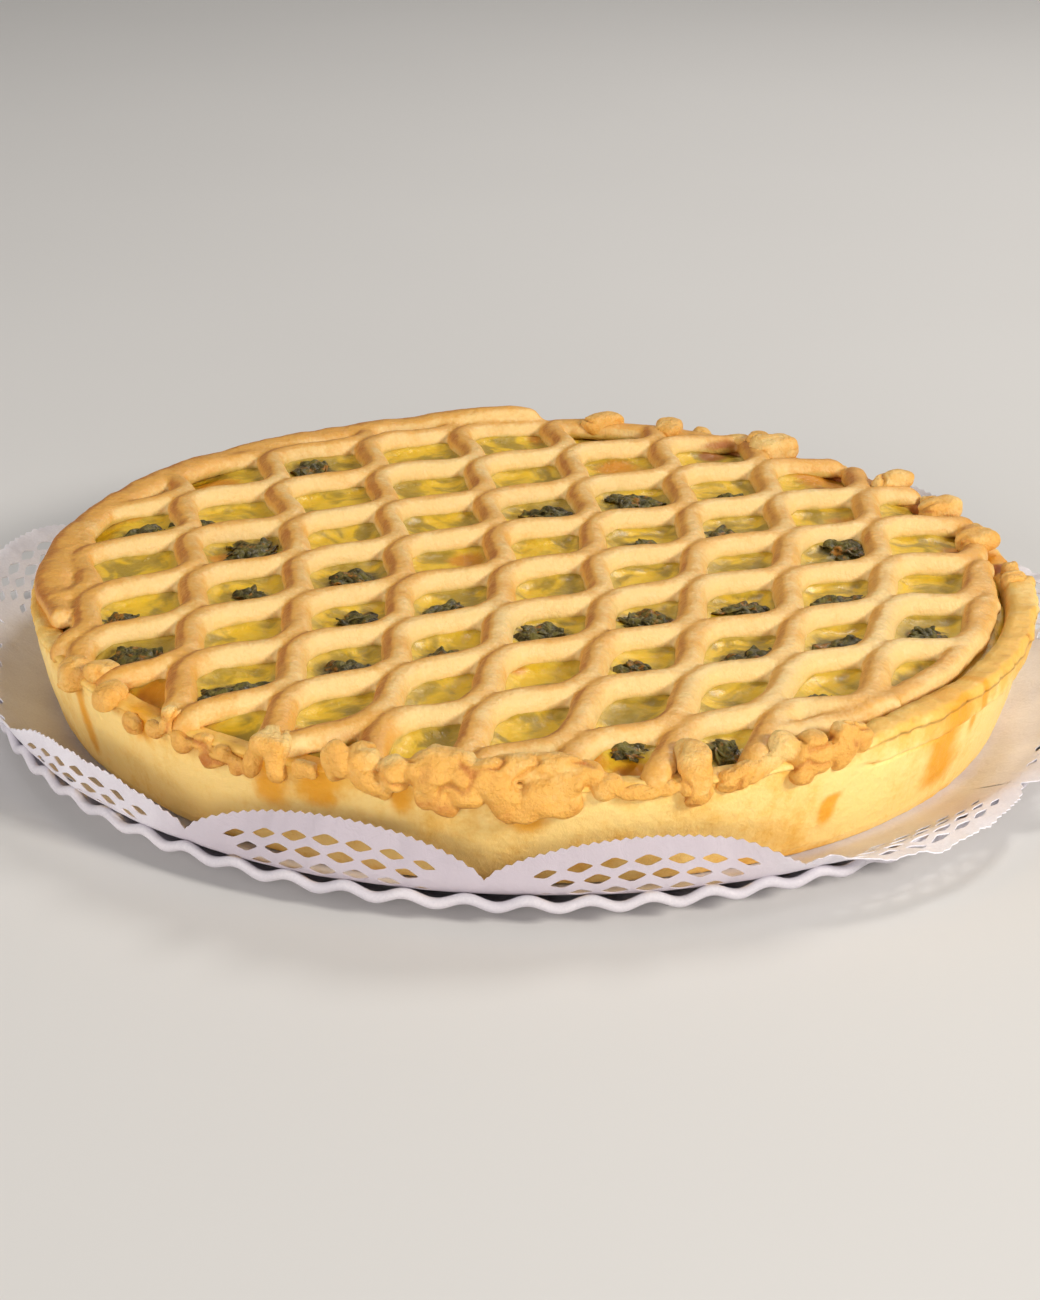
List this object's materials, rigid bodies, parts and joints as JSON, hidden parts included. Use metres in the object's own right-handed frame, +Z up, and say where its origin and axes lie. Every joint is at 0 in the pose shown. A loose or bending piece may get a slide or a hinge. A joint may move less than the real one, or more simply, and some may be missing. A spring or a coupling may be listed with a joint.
{
  "type": "quiche",
  "caption": "Whole round quiche with an open lattice top over a spinach and custard filling, on a lace paper doily and a fluted paper plate.",
  "frame": {"origin": "the middle of the plate's flat underside, on the surface it stands on", "axes": "+Z up; +X to the right and +Y away from the front, where the folded ends of the lattice are thickest"},
  "size_m": [0.3292, 0.3112, 0.0416],
  "materials": {
    "plate": "matte",
    "doily": "matte",
    "crust": "matte",
    "filling": "satin",
    "lattice": "matte"
  },
  "bodies": {
    "root": {"plate": "plate", "doily": "doily", "crust": "crust", "filling": "filling", "lattice": "lattice"}
  },
  "joints": []
}
